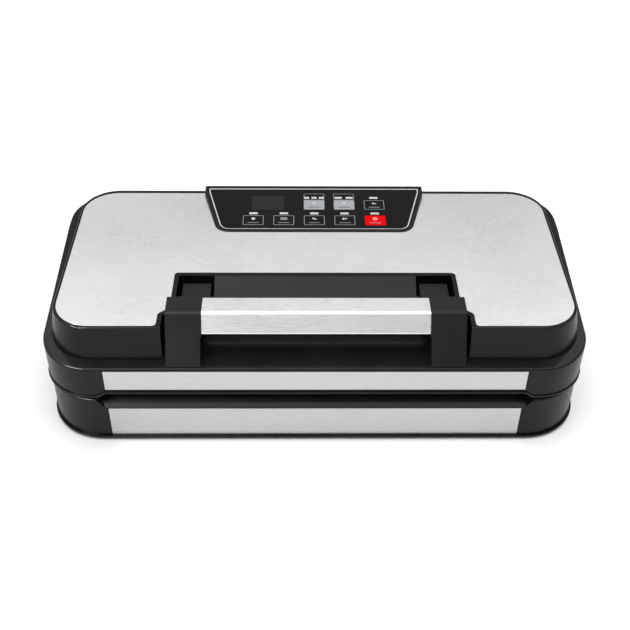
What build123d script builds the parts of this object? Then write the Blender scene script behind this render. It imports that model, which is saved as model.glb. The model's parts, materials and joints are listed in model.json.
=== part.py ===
from build123d import *
from math import cos, radians, sin, tan
import os

# Countertop vacuum sealer: a base with sealing bar and vacuum trough, a hinged lid
# with a lift-up handle, and a raised control panel.
# Origin: centre of the footprint at the height the feet stand on.
# +X to the user's right, +Y to the back, +Z up. Depths are counted from the front face.

os.makedirs("parts", exist_ok=True)

# ---- overall ------------------------------------------------------------------
body_width = 410.0
body_depth = 206.0
base_corner = 42.0
lid_corner = 38.0
wall = 2.5
fit_gap = 0.3
edge_round = 1.6
foot_height = 1.5
base_top = 41.0
lid_gap = 3.2
lid_side_height = 28.0
plateau_height = 28.0
ledge_slope = 7.1
ledge_rear_drop = 8.7

# ---- base ---------------------------------------------------------------------
cover_thickness = 2.1
cover_lip = 1.7
deck_thickness = 4.0
front_wall = 4.0
steel_side_margin = 48.8
steel_thickness = 0.8
steel_inset = 0.05
lower_steel_base_gap = 0.3
lower_steel_top_gap = 1.2
slot_end_margin = 2.5
slot_flare = 6.0
slot_front_drop = 7.9
slot_deck_drop = 3.0
ramp_depth = 8.0
slot_deck_depth = 30.0
bar_depth = 20.0
bar_thickness = 7.6
bar_height = 6.5
bar_top_drop = 1.5
bar_end_margin = 0.2
bar_edge_round = 0.8
tape_thickness = 0.4
tape_width = 12.0
tape_end_margin = 2.0
trough_end_margin = 10.0
trough_front_land = 3.0
trough_back_land = 1.0
trough_depth = 14.0
trough_wall = 3.0
tray_wall = 1.2
tray_rim_drop = 1.0
tray_port_radius = 3.2
gasket_end_margin = 2.0
gasket_front = 32.0
gasket_back = 72.0
gasket_width = 6.0
gasket_corner = 9.0
gasket_round = 1.0
gasket_rise = 3.0
gasket_squeeze_gap = 0.6
dust_seal_inset = 3.6
dust_seal_thickness = 1.6
dust_seal_rise = 5.5
dust_seal_slot_gap = 2.0
dust_seal_rear_gap = 20.0
boss_radius = 4.0
screw_radius = 1.5
screw_hole_gap = 0.1
screw_head_radius = 3.0
screw_head_height = 1.2
screw_length = 12.0
screw_side_margin = 20.0
screw_front_depth = 60.0
screw_rear_margin = 46.0
rear_screw_x = 60.0
rear_screw_margin = 16.0
foot_radius = 9.0
foot_pocket = 0.8
foot_chamfer = 0.5
foot_side_margin = 40.0
foot_end_margin = 30.0
vent_length = 30.0
vent_width = 3.0
vent_pitch = 8.0
vent_count = 6

# ---- pump, valve, boards and inlet in the base ----------------------------------
pump_side_margin = 100.0
pump_setback = 57.0
pump_axis_height = 15.4
motor_radius = 12.0
motor_left = 30.0
motor_right = 22.0
motor_shaft = 4.0
pump_head_width = 36.0
pump_head_half_depth = 17.0
pump_head_round = 4.0
pump_head_top_gap = 3.0
pump_port_x = 40.0
pump_port_height = 22.4
pump_port_length = 6.0
cradle_left = 24.0
cradle_right = 16.0
cradle_half_depth = 14.0
cradle_height = 8.4
tube_radius = 3.0
tube_bore = 1.8
tube_drop = 9.0
tube_hole_radius = 2.5
tube_end_run = 10.0
tube_bend = 6.0
tube_gap = 0.2
valve_x = -18.0
valve_setback = 34.0
valve_width = 24.0
valve_length = 18.0
valve_body_height = 16.4
valve_coil_radius = 6.5
valve_coil_height = 13.0
power_board_margin = 49.0
power_board_width = 142.0
power_board_length = 82.0
power_board_setback = 24.0
power_board_rise = 6.4
board_hole_margin = 6.0
board_post_radius = 3.5
board_thickness = 1.6
transformer_width = 48.0
transformer_length = 40.0
transformer_height = 22.4
transformer_x = 84.0
transformer_y = 11.0
coil_overhang = 6.0
coil_side_inset = 6.0
coil_height = 18.4
capacitor_radius = 6.0
capacitor_height = 18.4
capacitor_spots = [(16.0, 21.0), (16.0, 39.0), (34.0, 21.0)]
relay_box = (46.0, 15.0, 24.0, 18.0, 15.4)
heat_sink_box = (26.0, 61.0, 48.0, 6.0, 20.4)
inlet_from_pump = 20.0
inlet_height = 16.4
inlet_opening = (28.0, 20.0)
inlet_depth = 20.0
inlet_socket = (16.5, 9.5)
inlet_socket_depth = 14.0
inlet_pin_radius = 1.2
inlet_pin_offset = 4.0
inlet_pin_length = 12.0
inlet_round = 2.0

# ---- lid ----------------------------------------------------------------------
lid_bead = 0.8
lid_bead_height = 1.6
lip_rise = 4.0
lip_end_margin = 0.3
lip_flare = 5.5
lip_skirt = 1.5
upper_steel_lip_gap = 3.6
upper_steel_top_gap = 2.5
plateau_side_ledge = 9.8
plateau_front = 14.0
plateau_rear_ledge = 9.3
plateau_corner = 29.5
plateau_flare = 5.0
plateau_round = 1.2
plate_side_rim = 2.2
plate_front_rim = 2.3
plate_rear_rim = 4.8
plate_thickness = 0.8
plate_proud = 0.2
liner_rise = 4.0
liner_thickness = 2.5
strip_bottom_gap = 0.5
strip_width = 8.0
strip_round = 1.5
channel_depth = 1.2
lid_screw_margin = 6.4
lid_screw_front_x = 150.0
lid_screw_side_depth = 120.0

# ---- handle and its recess ----------------------------------------------------
recess_half_width = 105.0
recess_step = 8.0
recess_back = 76.4
recess_wide_back = 28.5
recess_narrow_front = 35.0
recess_front_depth = 9.0
recess_front_rise = 1.3
recess_knee_depth = 30.0
recess_knee_rise = 4.3
recess_scoop_depth = 66.0
recess_scoop_drop = 7.2
recess_exit_rise = 0.8
recess_floor_round = 30.0
recess_rim = 3.4
recess_rear_round = 2.0
recess_step_round = 2.5
plate_notch_round = 3.0
plate_bend_round = 4.0
well_width = 27.5
well_front = 38.0
well_rise = 3.8
pivot_depth = 64.0
pivot_drop = 13.2
pivot_radius = 2.5
pivot_clearance = 0.1
pivot_hole_gap = 0.05
pivot_end_gap = 0.2
arm_side_gap = 3.2
leg_width = 25.2
arm_shoulder = 1.0
handle_rise = 7.8
handle_front_top = 22.4
handle_back = 41.2
handle_front_round = 3.0
handle_back_round = 1.5
leg_foot_front = 1.8
leg_foot_back = 14.5
leg_foot_gap = 0.4
leg_back_top = 26.5
leg_neck = 3.0
arm_under_rise = 1.1
bar_under_drop = 8.4
bar_under_back = 33.0
bar_rear_drop = 0.2
bar_wall = 2.2
bar_skin_gap = 0.5
bar_end_gap = 0.1
bar_low_round = 1.6
link_inner_gap = 2.5
link_outer_gap = 3.5
link_top_drop = 4.7
link_drop = 6.0
link_tail = 8.0
link_front = 21.0
link_back_gap = 0.6
link_heel_round = 5.0
tenon_length = 9.0
tenon_depth = 7.0
tenon_rise = 4.4
tenon_height = 6.5

# ---- latches, switches and hinges -----------------------------------------------
latch_offset = 18.0
latch_width = 5.0
latch_depth = 60.0
latch_hang = 10.3
latch_pin_radius = 1.5
latch_pin_gap = 0.08
latch_eye_radius = 4.5
latch_arm = 6.0
latch_foot_rise = 1.3
latch_nose = 3.0
latch_nose_height = 2.3
latch_slot_front = 52.0
latch_slot_back = 72.0
latch_slot_gap = 0.6
latch_cheek = 2.5
latch_cheek_half_depth = 6.0
latch_cheek_top = 4.0
catch_gap = 0.6
catch_side = 1.5
catch_foot_front = 38.0
catch_foot_height = 1.2
catch_post_front = 46.0
catch_post_back = 48.0
catch_nose_rise = 4.2
catch_rise = 6.4
switch_side_margin = 17.0
switch_depth = 96.0
switch_half = 5.0
switch_body_height = 10.0
switch_gap = 2.0
switch_plunger_radius = 1.5
switch_pin_radius = 2.0
switch_pin_gap = 0.6
switch_hole_radius = 3.0
hinge_side_margin = 75.0
hinge_rear_margin = 5.0
hinge_rise = 1.6
hinge_pin_radius = 1.5
hinge_bore_gap = 0.08
knuckle_radius = 3.6
knuckle_half = 7.0
bracket_half = 13.0
bracket_drop = 14.0
bracket_skin = 1.0
hinge_play = 0.4
hinge_swing_room = 8.0
hinge_pocket = 10.0
leaf_thickness = 2.1
leaf_height = 20.0
rear_relief_rise = 4.2
rear_relief_depth = 6.0
rear_relief_margin = 17.0

# ---- control panel ------------------------------------------------------------
panel_length = 62.9
panel_overhang = 0.4
panel_back_half = 93.0
panel_front_half = 79.2
panel_straight = 9.0
panel_corner = 12.0
panel_rear_corner = 1.5
panel_slope = 3.8
panel_front_rise = 0.4
panel_edge_round = 0.8
panel_fit = 0.2
panel_pocket = 1.0
panel_frame = 3.6
trim_width = 1.0
trim_gap = 0.05
trim_drop = 0.35
cover_drop = 0.6
overlay_drop = 1.8
key_width = 17.3
key_height = 12.8
key_pitch = 25.3
key_gap = 0.25
key_travel = 0.3
key_rest_gap = 0.1
key_skirt_gap = 0.5
key_stem = 4.0
stem_reach = 0.3
lower_row_setback = 15.8
upper_row_setback = 36.8
lower_lens_setback = 25.0
upper_lens_setback = 46.5
display_width = 27.1
display_height = 19.6
display_x = -39.0
display_setback = 40.0
display_gap = 0.1
display_sink = 0.1
display_module_inset = 1.0
lens_width = 7.0
lens_height = 2.4
lens_gap = 0.1
lens_proud = 0.05
pipe_lift = 0.8
triple_lens_width = 4.3
triple_pitch = 6.2
pair_lens_width = 6.0
pair_pitch = 9.3
small_corner_share = 0.06
board_half_width = 74.0
board_front_margin = 4.0
board_rear_margin = 6.0
control_board_drop = 4.6
board_spot_x = 70.0
board_spot_margin = 4.0
board_boss_radius = 3.0
board_screw_bite = 0.8
board_screw_head_radius = 2.6
switch_size = 6.0
switch_height = 1.5
window_half_width = 66.0
window_front_margin = 5.6
window_rear_margin = 11.0
window_frame_step = 2.0

# ---- derived: base ------------------------------------------------------------
front_y = -body_depth / 2
half_width = body_width / 2
base_floor_z = foot_height + cover_thickness
deck_under_z = base_top - deck_thickness
ramp_front_z = base_top - slot_front_drop
slot_deck_z = base_top - slot_deck_drop
steel_half_width = half_width - steel_side_margin
slot_half_width = steel_half_width + slot_end_margin
lower_steel_low = base_floor_z + lower_steel_base_gap
lower_steel_high = ramp_front_z - lower_steel_top_gap
bar_half_length = steel_half_width - bar_end_margin
bar_top_z = base_top - bar_top_drop
bar_floor_z = bar_top_z - bar_height
tape_top_z = bar_top_z + tape_thickness
trough_half_width = bar_half_length - trough_end_margin
trough_front = gasket_front + gasket_width + trough_front_land
trough_back = gasket_back - gasket_width - trough_back_land
trough_floor_z = base_top - trough_depth
gasket_half_width = bar_half_length + gasket_end_margin
lower_gasket_top = base_top + gasket_rise
screw_side_x = half_width - screw_side_margin
base_screw_spots = [
    (side * x, depth) for side in (-1, 1)
    for x, depth in ((screw_side_x, screw_front_depth),
                     (screw_side_x, body_depth - screw_rear_margin),
                     (rear_screw_x, body_depth - rear_screw_margin))
]
foot_spots = [
    (side * (half_width - foot_side_margin), depth) for side in (-1, 1)
    for depth in (foot_end_margin, body_depth - foot_end_margin)
]
pump_x = pump_side_margin - half_width
pump_depth = trough_back + pump_setback
pump_z = base_floor_z + pump_axis_height
pump_head_front = pump_depth - pump_head_half_depth
tube_x = pump_x + pump_port_x
tube_z = base_top - tube_drop
tube_start = trough_back + trough_wall + tube_gap
port_z = base_floor_z + pump_port_height
port_front = pump_head_front - pump_port_length
valve_depth = trough_back + valve_setback
board_low = base_floor_z + power_board_rise
board_high = board_low + board_thickness
board_right = half_width - power_board_margin
board_left = board_right - power_board_width
board_near = trough_back + power_board_setback
board_far = board_near + power_board_length
board_spots = [(x, depth) for x in (board_left + board_hole_margin,
                                    board_right - board_hole_margin)
               for depth in (board_near + board_hole_margin, board_far - board_hole_margin)]
inlet_x = pump_x + inlet_from_pump
inlet_z = base_floor_z + inlet_height
switch_x = half_width - switch_side_margin
hinge_x = half_width - hinge_side_margin
hinge_depth = body_depth - hinge_rear_margin
hinge_z = base_top + hinge_rise

# ---- derived: lid -------------------------------------------------------------
lid_bottom = base_top + lid_gap
ledge_front_z = lid_bottom + lid_side_height
plateau_top = ledge_front_z + plateau_height
ledge_rear_z = plateau_top - ledge_rear_drop
lip_bottom_z = lid_bottom + lip_rise
lip_half_width = steel_half_width + lip_end_margin
upper_steel_low = lip_bottom_z + upper_steel_lip_gap
upper_steel_high = ledge_front_z - upper_steel_top_gap
plateau_half_width = half_width - plateau_side_ledge
plateau_back = body_depth - plateau_rear_ledge
plate_half_width = plateau_half_width - plate_side_rim
plate_front = plateau_front + plate_front_rim
plate_back = plateau_back - plate_rear_rim
plate_corner = plateau_corner - plate_side_rim
plate_floor_z = plateau_top + plate_proud - plate_thickness
plate_top_z = plateau_top + plate_proud
roof_under_z = plate_floor_z - wall
liner_bottom_z = lid_bottom + liner_rise
liner_top_z = liner_bottom_z + liner_thickness
channel_roof_z = liner_bottom_z + channel_depth
rear_relief_z = lid_bottom + rear_relief_rise
lid_screw_spots = [
    (side * x, depth) for side in (-1, 1)
    for x, depth in ((lid_screw_front_x, lid_screw_margin),
                     (half_width - lid_screw_margin, lid_screw_side_depth),
                     (rear_screw_x, body_depth - lid_screw_margin))
]
latch_x = gasket_half_width + latch_offset
latch_z = liner_top_z + latch_hang
latch_foot_z = base_top + latch_foot_rise

# ---- derived: handle and recess -------------------------------------------------
recess_wide_half = recess_half_width + recess_step
recess_floor = [
    (recess_front_depth, ledge_front_z + recess_front_rise),
    (recess_knee_depth, ledge_front_z + recess_knee_rise),
    (recess_scoop_depth, plateau_top - recess_scoop_drop),
    (recess_back, plateau_top + recess_exit_rise),
]
well_inner = recess_half_width - well_width
well_floor_z = ledge_front_z + well_rise
pivot_z = plateau_top - pivot_drop
arm_outer = recess_wide_half - arm_side_gap
leg_inner = arm_outer - leg_width
arm_inner = leg_inner - arm_shoulder
link_inner = well_inner + link_inner_gap
link_outer = recess_half_width - link_outer_gap
handle_top_z = plateau_top + handle_rise
arm_under_z = plateau_top + arm_under_rise
bar_under_z = plateau_top - bar_under_drop
bar_rear_z = plateau_top - bar_rear_drop
link_top_z = plateau_top - link_top_drop
link_under_z = pivot_z - link_drop

# ---- derived: control panel -----------------------------------------------------
panel_back = plateau_back + panel_overhang
panel_front = panel_back - panel_length
panel_front_z = plate_top_z + panel_front_rise
panel_floor_z = plate_floor_z - panel_pocket
board_top_z = plateau_top - control_board_drop
lower_row = panel_front + lower_row_setback
upper_row = panel_front + upper_row_setback
lower_lens_row = panel_front + lower_lens_setback
upper_lens_row = panel_front + upper_lens_setback
display_row = panel_front + display_setback
board_front = panel_front + board_front_margin
board_back = panel_back - board_rear_margin
window_front = panel_front + window_front_margin
window_back = panel_back - window_rear_margin
board_spots_lid = [(side * board_spot_x, depth) for side in (-1, 1)
                   for depth in (board_front + board_spot_margin,
                                 board_back - board_spot_margin)]
lower_keys = [i * key_pitch for i in (-2, -1, 0, 1, 2)]
upper_keys = [i * key_pitch for i in (0, 1, 2)]


def at(depth):
    """Y of a point this far behind the front face."""
    return front_y + depth


def ledge_z(depth):
    """Height of the ledge at a depth: sloping in front, level at the rear."""
    return min(ledge_front_z + depth * tan(radians(ledge_slope)), ledge_rear_z)


def face_z(depth):
    """Height of the sloping panel face at a depth."""
    return panel_front_z + (depth - panel_front) * tan(radians(panel_slope))


def sloping_plane(depth, height, slope):
    """Plane through a (depth, height) point that rises toward the back."""
    return Plane(origin=(0, at(depth), height), x_dir=(1, 0, 0),
                 z_dir=(0, -sin(radians(slope)), cos(radians(slope))))


ledge_plane = sloping_plane(0, ledge_front_z, ledge_slope)
ledge_rear_plane = Plane.XY.offset(ledge_rear_z)
ledge_crease = (ledge_rear_z - ledge_front_z) / tan(radians(ledge_slope))


def rounded_outline(half_x, front, back, corner, z):
    """Rounded rectangle centred on X, between two depths."""
    with BuildSketch(Plane.XY.offset(z)) as outline:
        with Locations((0, at((front + back) / 2))):
            RectangleRounded(2 * half_x, back - front, corner)
    return outline.sketch


def slab(half_x, front, back, corner, z_low, z_high, mode=Mode.ADD):
    """Upright block with rounded corners, between two depths and two heights."""
    extrude(rounded_outline(half_x, front, back, corner, z_low),
            amount=z_high - z_low, mode=mode)


def frame_outline(half_x, front, back, corner, width, z):
    """Rounded frame of one width all round."""
    with BuildSketch(Plane.XY.offset(z)) as outline:
        with Locations((0, at((front + back) / 2))):
            RectangleRounded(2 * half_x, back - front, corner)
            RectangleRounded(2 * (half_x - width), back - front - 2 * width, corner - width,
                             mode=Mode.SUBTRACT)
    return outline.sketch


def block(x_low, x_high, front, back, z_low, z_high, mode=Mode.ADD):
    """Plain block given by its limits."""
    with BuildSketch(Plane.XY.offset(z_low)) as outline:
        with Locations(((x_low + x_high) / 2, at((front + back) / 2))):
            Rectangle(x_high - x_low, back - front)
    extrude(outline.sketch, amount=z_high - z_low, mode=mode)


def near(vertex, point):
    """Whether a sketch vertex lies on this (depth, height) point."""
    return abs(vertex.X - at(point[0])) < 0.01 and abs(vertex.Y - point[1]) < 0.01


def side_profile(points, x_low, x_high, mode=Mode.ADD, rounds=()):
    """Extrudes a (depth, height) outline along X; rounds lists (point, radius)."""
    with BuildSketch(Plane.YZ.offset(x_low)) as outline:
        with BuildLine():
            Polyline(*[(at(d), z) for d, z in points], close=True)
        make_face()
        for point, radius in rounds:
            fillet([v for v in outline.vertices() if near(v, point)], radius=radius)
    extrude(outline.sketch, amount=x_high - x_low, mode=mode)


def rod_x(x_low, x_high, depth, height, radius, mode=Mode.ADD):
    """Round bar or bore along X."""
    with BuildSketch(Plane.YZ.offset(x_low)) as outline:
        with Locations((at(depth), height)):
            Circle(radius)
    extrude(outline.sketch, amount=x_high - x_low, mode=mode)


def rod_y(x, height, radius, front, back, mode=Mode.ADD):
    """Round bar or bore running to the back."""
    with BuildSketch(Plane.XZ.offset(-at(front))) as outline:
        with Locations((x, height)):
            Circle(radius)
    extrude(outline.sketch, amount=front - back, mode=mode)


def post(spots, radius, z_low, z_high, mode=Mode.ADD):
    """Upright round posts or holes at (x, depth) spots."""
    with BuildSketch(Plane.XY.offset(z_low)) as outline:
        with Locations(*[(x, at(d)) for x, d in spots]):
            Circle(radius)
    extrude(outline.sketch, amount=z_high - z_low, mode=mode)


def pad(x, depth, width, length, z):
    """Small outline with slightly rounded corners, centred on a spot."""
    with BuildSketch(Plane.XY.offset(z)) as outline:
        with Locations((x, at(depth))):
            RectangleRounded(width, length, min(width, length) * small_corner_share)
    return outline.sketch


def to_face(outline, top_drop, floor_drop=None, mode=Mode.ADD):
    """Raises an outline to a plane this far below the panel face.

    With floor_drop its underside is cut parallel to the face too.
    """
    upright = extrude(outline, amount=face_z(panel_back), mode=Mode.PRIVATE)
    piece = split(upright, bisect_by=sloping_plane(
        panel_front, panel_front_z - top_drop, panel_slope), keep=Keep.BOTTOM,
        mode=Mode.PRIVATE)
    if floor_drop is not None:
        piece = split(piece, bisect_by=sloping_plane(
            panel_front, panel_front_z - floor_drop, panel_slope), keep=Keep.TOP,
            mode=Mode.PRIVATE)
    add(piece, mode=mode)


def plate_outline(grow):
    """Outline of the steel top plate, notched round the handle recess."""
    rim = recess_rim - grow
    step_front = recess_wide_back + rim / 2
    step_back = recess_narrow_front + rim / 2
    with BuildSketch(Plane.XY.offset(plate_floor_z)) as outline:
        with Locations((0, at((plate_front + plate_back) / 2))):
            RectangleRounded(2 * (plate_half_width + grow), plate_back - plate_front + 2 * grow,
                             plate_corner + grow)
        with BuildLine():
            Polyline(
                (-recess_wide_half - rim, at(0)), (-recess_wide_half - rim, at(step_front)),
                (-recess_half_width - rim, at(step_back)),
                (-recess_half_width - rim, at(recess_back + rim)),
                (recess_half_width + rim, at(recess_back + rim)),
                (recess_half_width + rim, at(step_back)),
                (recess_wide_half + rim, at(step_front)), (recess_wide_half + rim, at(0)),
                close=True,
            )
        make_face(mode=Mode.SUBTRACT)
        for depths, radius in (
                ((recess_back + rim,), plate_notch_round),
                ((step_front, step_back), plate_bend_round),
                ((plate_front - grow,), plate_notch_round)):
            bends = outline.vertices().filter_by(
                lambda v: abs(v.X) < recess_wide_half + recess_rim + 1
                and any(abs(v.Y - at(d)) < 0.01 for d in depths))
            fillet(bends, radius=radius)
    return outline.sketch


def panel_outline(inset, z):
    """Outline of the control panel, wider at the back, drawn in by an inset."""
    with BuildSketch(Plane.XY.offset(z)) as outline:
        with BuildLine():
            Polyline(
                (-panel_front_half, at(panel_front)), (panel_front_half, at(panel_front)),
                (panel_back_half, at(panel_back - panel_straight)),
                (panel_back_half, at(panel_back)), (-panel_back_half, at(panel_back)),
                (-panel_back_half, at(panel_back - panel_straight)),
                close=True,
            )
        make_face()
        fillet(outline.vertices().group_by(Axis.Y)[0], radius=panel_corner)
        fillet(outline.vertices().group_by(Axis.Y)[-1], radius=panel_rear_corner)
        if inset:
            offset(amount=-inset, kind=Kind.INTERSECTION)
    return outline.sketch


def screws_up(spots, z_head):
    """Screws driven upward, heads at z_head."""
    post(spots, screw_head_radius, z_head, z_head + screw_head_height)
    post(spots, screw_radius, z_head + screw_head_height, z_head + screw_length)


def gasket_ring(z_low, z_high, gap, mode=Mode.ADD):
    """The gasket's frame, or with no gap the channel that holds it."""
    extrude(frame_outline(gasket_half_width - gap, gasket_front + gap, gasket_back - gap,
                          gasket_corner - gap, gasket_width - 2 * gap, z_low),
            amount=z_high - z_low, mode=mode)


# ---- base housing -------------------------------------------------------------
slot_reach = 10.0
with BuildPart() as bag_slot_air:
    side_profile(
        [(-slot_reach, ramp_front_z), (0, ramp_front_z), (ramp_depth, slot_deck_z),
         (slot_deck_depth, slot_deck_z), (slot_deck_depth, base_top + slot_reach),
         (-slot_reach, base_top + slot_reach)],
        -half_width, half_width,
    )
    with BuildSketch(Plane.XZ.offset(-at(slot_deck_depth))):
        with BuildLine():
            Polyline(
                (-slot_half_width, ramp_front_z), (slot_half_width, ramp_front_z),
                (slot_half_width + slot_flare, base_top),
                (slot_half_width + slot_flare, base_top + slot_reach),
                (-slot_half_width - slot_flare, base_top + slot_reach),
                (-slot_half_width - slot_flare, base_top),
                close=True,
            )
        make_face()
    extrude(amount=slot_deck_depth + slot_reach, mode=Mode.INTERSECT)

with BuildPart() as base_housing:
    slab(half_width, 0, body_depth, base_corner, base_floor_z, base_top)
    fillet(base_housing.faces().sort_by(Axis.Z)[-1].edges(), radius=edge_round)
    slab(half_width - wall, front_wall, body_depth - wall, base_corner - wall,
         base_floor_z, bar_floor_z - wall, mode=Mode.SUBTRACT)
    slab(half_width - wall, slot_deck_depth + wall, body_depth - wall, base_corner - wall,
         base_floor_z, deck_under_z, mode=Mode.SUBTRACT)
    block(-trough_half_width - trough_wall, trough_half_width + trough_wall,
          trough_front - trough_wall, trough_back + trough_wall,
          trough_floor_z - trough_wall, deck_under_z)
    post(base_screw_spots, boss_radius, base_floor_z + fit_gap, deck_under_z)
    add(bag_slot_air.part, mode=Mode.SUBTRACT)
    block(-bar_half_length - fit_gap, bar_half_length + fit_gap,
          bar_depth - bar_thickness / 2 - fit_gap, bar_depth + bar_thickness / 2 + fit_gap,
          bar_floor_z, base_top, mode=Mode.SUBTRACT)
    block(-trough_half_width, trough_half_width, trough_front, trough_back,
          trough_floor_z, base_top, mode=Mode.SUBTRACT)
    block(-steel_half_width - fit_gap, steel_half_width + fit_gap, 0, steel_thickness,
          base_floor_z, lower_steel_high + fit_gap, mode=Mode.SUBTRACT)
    for side in (-1, 1):
        block(side * hinge_x - bracket_half - bracket_skin,
              side * hinge_x + bracket_half + bracket_skin,
              body_depth - hinge_pocket, body_depth, deck_under_z, base_top,
              mode=Mode.SUBTRACT)
        post([(side * switch_x, switch_depth)], switch_hole_radius, deck_under_z, base_top,
             mode=Mode.SUBTRACT)
    post(base_screw_spots, screw_radius + screw_hole_gap, base_floor_z,
         base_floor_z + screw_length, mode=Mode.SUBTRACT)
    block(inlet_x - inlet_opening[0] / 2, inlet_x + inlet_opening[0] / 2,
          body_depth - wall, body_depth, inlet_z - inlet_opening[1] / 2,
          inlet_z + inlet_opening[1] / 2, mode=Mode.SUBTRACT)
    rod_y(tube_x, tube_z, tube_hole_radius, trough_back, trough_back + trough_wall,
          mode=Mode.SUBTRACT)

# ---- parts fixed in the base --------------------------------------------------
with BuildPart() as bottom_cover:
    slab(half_width + cover_lip, -cover_lip, body_depth + cover_lip,
         base_corner + cover_lip, foot_height, base_floor_z)
    fillet(bottom_cover.faces().sort_by(Axis.Z)[0].edges(), radius=cover_lip / 2)
    post(foot_spots, foot_radius + fit_gap, foot_height, foot_height + foot_pocket,
         mode=Mode.SUBTRACT)
    post(base_screw_spots, screw_head_radius + 2 * screw_hole_gap, foot_height,
         foot_height + screw_head_height, mode=Mode.SUBTRACT)
    post(base_screw_spots, screw_radius + screw_hole_gap, foot_height, base_floor_z,
         mode=Mode.SUBTRACT)
    with BuildSketch(Plane.XY.offset(foot_height)):
        with Locations((pump_x, at(pump_depth))):
            with GridLocations(vent_pitch, 1, vent_count, 1):
                SlotOverall(vent_length, vent_width, rotation=90)
    extrude(amount=cover_thickness, mode=Mode.SUBTRACT)

with BuildPart() as feet:
    post(foot_spots, foot_radius, 0, foot_height + foot_pocket)
    chamfer(feet.faces().group_by(Axis.Z)[0].edges(), length=foot_chamfer)

with BuildPart() as base_screws:
    screws_up(base_screw_spots, foot_height)

with BuildPart() as front_panel_lower:
    block(-steel_half_width, steel_half_width, steel_inset, steel_thickness,
          lower_steel_low, lower_steel_high)

with BuildPart() as drip_tray:
    block(-trough_half_width + fit_gap, trough_half_width - fit_gap,
          trough_front + fit_gap, trough_back - fit_gap, trough_floor_z,
          base_top - tray_rim_drop)
    offset(amount=-tray_wall, openings=drip_tray.faces().sort_by(Axis.Z)[-1])
    rod_y(tube_x, tube_z, tray_port_radius, trough_back - fit_gap - tray_wall,
          trough_back, mode=Mode.SUBTRACT)

with BuildPart() as seal_bar:
    block(-bar_half_length, bar_half_length, bar_depth - bar_thickness / 2,
          bar_depth + bar_thickness / 2, bar_floor_z, bar_top_z)
    fillet(seal_bar.faces().sort_by(Axis.Z)[-1].edges().filter_by(Axis.X),
           radius=bar_edge_round)

with BuildPart() as seal_tape:
    block(-bar_half_length + tape_end_margin, bar_half_length - tape_end_margin,
          bar_depth - tape_width / 2, bar_depth + tape_width / 2, bar_top_z, tape_top_z)

with BuildPart() as lower_gasket:
    gasket_ring(base_top, lower_gasket_top, fit_gap)
    fillet(lower_gasket.faces().sort_by(Axis.Z)[-1].edges(), radius=gasket_round)

with BuildPart() as dust_seal:
    extrude(frame_outline(half_width - dust_seal_inset, dust_seal_inset,
                          body_depth - dust_seal_inset, base_corner - dust_seal_inset,
                          dust_seal_thickness, base_top), amount=dust_seal_rise)
    block(-slot_half_width - slot_flare - dust_seal_slot_gap,
          slot_half_width + slot_flare + dust_seal_slot_gap, 0, body_depth,
          base_top, base_top + dust_seal_rise, mode=Mode.SUBTRACT)
    block(-half_width, half_width, hinge_depth - dust_seal_rear_gap, body_depth,
          base_top, base_top + dust_seal_rise, mode=Mode.SUBTRACT)

with BuildPart() as latch_catches:
    nose_front = latch_depth - latch_arm / 2 - latch_nose
    for side in (-1, 1):
        side_profile(
            [(catch_foot_front, base_top), (catch_post_back, base_top),
             (catch_post_back, base_top + catch_nose_rise),
             (nose_front - catch_gap, base_top + catch_nose_rise),
             (nose_front - catch_gap, base_top + catch_rise),
             (catch_post_front, base_top + catch_rise),
             (catch_post_front, base_top + catch_foot_height),
             (catch_foot_front, base_top + catch_foot_height)],
            side * latch_x - latch_width / 2 - catch_side,
            side * latch_x + latch_width / 2 + catch_side,
        )

with BuildPart() as hinge_brackets:
    for side in (-1, 1):
        rod_x(side * hinge_x - bracket_half, side * hinge_x + bracket_half,
              hinge_depth, hinge_z, knuckle_radius)
        block(side * hinge_x - bracket_half, side * hinge_x + bracket_half,
              hinge_depth - knuckle_radius, hinge_depth - bracket_skin,
              deck_under_z - bracket_drop, hinge_z)
    for side in (-1, 1):
        block(side * hinge_x - knuckle_half - hinge_play,
              side * hinge_x + knuckle_half + hinge_play,
              hinge_depth - hinge_swing_room, hinge_depth + hinge_swing_room,
              deck_under_z + bracket_skin, hinge_z + hinge_swing_room, mode=Mode.SUBTRACT)
        rod_x(side * hinge_x - bracket_half, side * hinge_x + bracket_half,
              hinge_depth, hinge_z, hinge_pin_radius, mode=Mode.SUBTRACT)

with BuildPart() as hinge_pins:
    for side in (-1, 1):
        rod_x(side * hinge_x - bracket_half, side * hinge_x + bracket_half,
              hinge_depth, hinge_z, hinge_pin_radius)

with BuildPart() as lid_switches:
    for side in (-1, 1):
        block(side * switch_x - switch_half, side * switch_x + switch_half,
              switch_depth - switch_half, switch_depth + switch_half,
              deck_under_z - switch_gap - switch_body_height, deck_under_z - switch_gap)
        post([(side * switch_x, switch_depth)], switch_plunger_radius,
             deck_under_z - switch_gap, deck_under_z)

with BuildPart() as pump_motor:
    rod_x(pump_x - motor_left, pump_x + motor_right, pump_depth, pump_z, motor_radius)
    rod_x(pump_x - motor_left - motor_shaft, pump_x - motor_left, pump_depth, pump_z,
          motor_shaft)

with BuildPart() as pump_head:
    block(pump_x + motor_right, pump_x + motor_right + pump_head_width,
          pump_head_front, pump_depth + pump_head_half_depth, base_floor_z,
          deck_under_z - pump_head_top_gap)
    fillet(pump_head.edges().filter_by(Axis.Z), radius=pump_head_round)
    rod_y(tube_x, port_z, tube_radius, port_front, pump_head_front)

with BuildPart() as pump_cradle:
    block(pump_x - cradle_left, pump_x + cradle_right, pump_depth - cradle_half_depth,
          pump_depth + cradle_half_depth, base_floor_z, base_floor_z + cradle_height)
    rod_x(pump_x - cradle_left, pump_x + cradle_right, pump_depth, pump_z,
          motor_radius + pivot_hole_gap, mode=Mode.SUBTRACT)

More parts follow.
